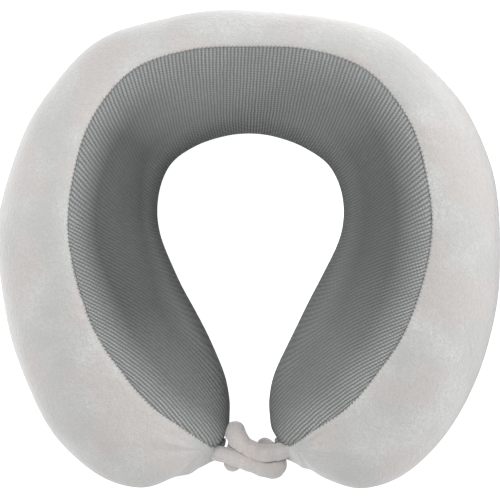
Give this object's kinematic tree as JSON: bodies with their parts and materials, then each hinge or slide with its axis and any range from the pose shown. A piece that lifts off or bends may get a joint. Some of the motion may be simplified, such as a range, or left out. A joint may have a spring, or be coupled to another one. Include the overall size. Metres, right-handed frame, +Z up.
{
  "type": "travel neck pillow",
  "caption": "U shaped travel neck pillow lying flat: foam core in a plush cover with a ribbed knit neck side, a zip at the back and two tied plush ties.",
  "frame": {"origin": "on the floor under the middle of the pillow, at the centre of its flat base", "axes": "+Z up as the pillow lies flat, +X across it from arm to arm, -Y towards the two tips and the ties"},
  "size_m": [0.29, 0.276, 0.1166],
  "materials": {
    "foam": "open cell foam",
    "liner": "thin jersey",
    "liner_thread": "thread",
    "ribbed_knit": "ribbed knit",
    "plush": "short plush",
    "plush_base": "short plush",
    "seam_thread": "thread",
    "zip_tape": "woven tape",
    "zip_coil": "nylon coil",
    "zip_metal": "satin",
    "zip_slider": "satin enamel",
    "label_satin": "satin ribbon",
    "tie_plush": "short plush"
  },
  "bodies": {
    "pillow": {"foam_core": "foam", "inner_liner": "liner", "liner_seam_thread": "liner_thread", "neck_panel": "ribbed_knit", "plush_outer_panel": "plush", "base_panel": "plush_base", "upper_seam_thread": "seam_thread", "inner_seam_thread": "seam_thread", "outer_seam_thread": "seam_thread", "zip_tape_upper": "zip_tape", "zip_tape_lower": "zip_tape", "zip_coil_upper": "zip_coil", "zip_coil_lower": "zip_coil", "zip_stitching": "seam_thread", "zip_top_stops": "zip_metal", "zip_bottom_stop": "zip_metal", "care_label": "label_satin", "right_tie": "tie_plush", "left_tie": "tie_plush"},
    "slider": {"zip_slider": "zip_slider"},
    "pull": {"zip_pull": "zip_slider"}
  },
  "joints": [
    {"name": "zip_travel", "type": "hinge", "parent": "pillow", "child": "slider", "pos_m": [0, -0.1415, 0.018], "axis": [0, 0, -1], "range_deg": [0, 24.5]},
    {"name": "pull_swing", "type": "hinge", "parent": "slider", "child": "pull", "pos_m": [-0.05973, 0.12993, 0.01778], "axis": [-0.0505, 0.2295, 0.972], "range_deg": [0, 165]}
  ]
}
